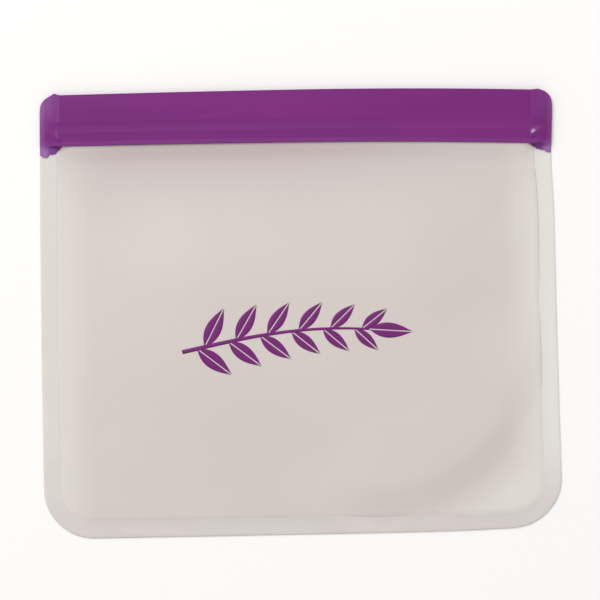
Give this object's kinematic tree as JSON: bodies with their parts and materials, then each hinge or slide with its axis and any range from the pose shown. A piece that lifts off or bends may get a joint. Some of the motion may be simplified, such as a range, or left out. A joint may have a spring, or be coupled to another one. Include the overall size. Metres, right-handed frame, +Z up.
{
  "type": "reusable bag",
  "caption": "Flat reusable food bag of frosted soft film with heat-welded sides and bottom and a coloured press-to-close strip whose front lip opens.",
  "frame": {"origin": "under the middle of the bag, on the surface that the back film lies on", "axes": "+X across the bag, along the closure; +Y from the bottom seam to the mouth; +Z up, out of the front film"},
  "size_m": [0.204, 0.177, 0.0071],
  "materials": {
    "frosted_film": "frosted, translucent, soft and slightly waxy",
    "welded_film": "clearer than the film, pressed flat by the welding bar",
    "strip_plastic": "satin purple with fine lines along its length",
    "fused_strip": "purple, crushed and melted, slightly see-through",
    "printed_ink": "flat purple printing ink"
  },
  "bodies": {
    "back": {"back_film": "frosted_film", "back_zip_tape": "strip_plastic", "upper_zip_channel": "strip_plastic", "lower_zip_channel": "strip_plastic", "left_side_seam": "welded_film", "right_side_seam": "welded_film", "bottom_seam": "welded_film", "left_zip_end": "fused_strip", "right_zip_end": "fused_strip"},
    "front": {"front_film": "frosted_film", "front_zip_tape": "strip_plastic", "upper_zip_rib": "strip_plastic", "lower_zip_rib": "strip_plastic", "front_print": "printed_ink"}
  },
  "joints": [
    {"name": "mouth_open", "type": "hinge", "parent": "back", "child": "front", "pos_m": [0, -0.08135, 0.001], "axis": [1, 0, 0], "range_deg": [0, 10]}
  ]
}
